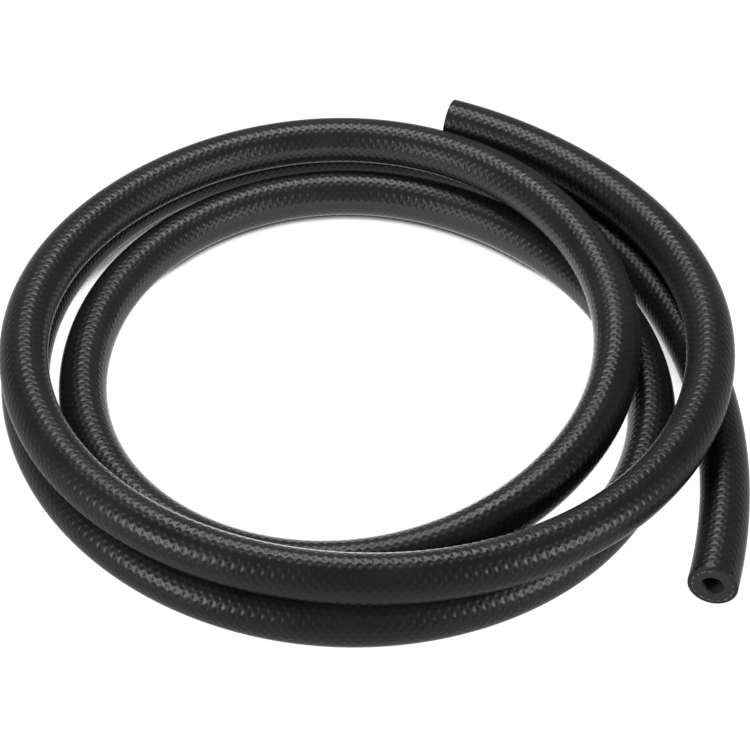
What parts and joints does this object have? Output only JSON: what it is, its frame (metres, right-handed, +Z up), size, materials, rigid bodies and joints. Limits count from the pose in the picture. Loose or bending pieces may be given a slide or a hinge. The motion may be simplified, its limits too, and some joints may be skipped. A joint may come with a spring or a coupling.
{
  "type": "fuel hose",
  "caption": "Flexible black rubber fuel hose with a round bore and plain cut ends, lying loosely coiled; it carries fuel between two barbed fittings under clamps.",
  "frame": {"origin": "on the floor, under the middle of the coil's bounding box", "axes": "+Z up from the floor that the coil lies on; +X to the right of a person who faces the lower cut end, +Y away from them"},
  "size_m": [0.1698, 0.1694, 0.023],
  "materials": {
    "hose_rubber": "satin black with a fine pressed-in braid pattern"
  },
  "bodies": {
    "root": {"fuel_hose": "hose_rubber"}
  },
  "joints": []
}
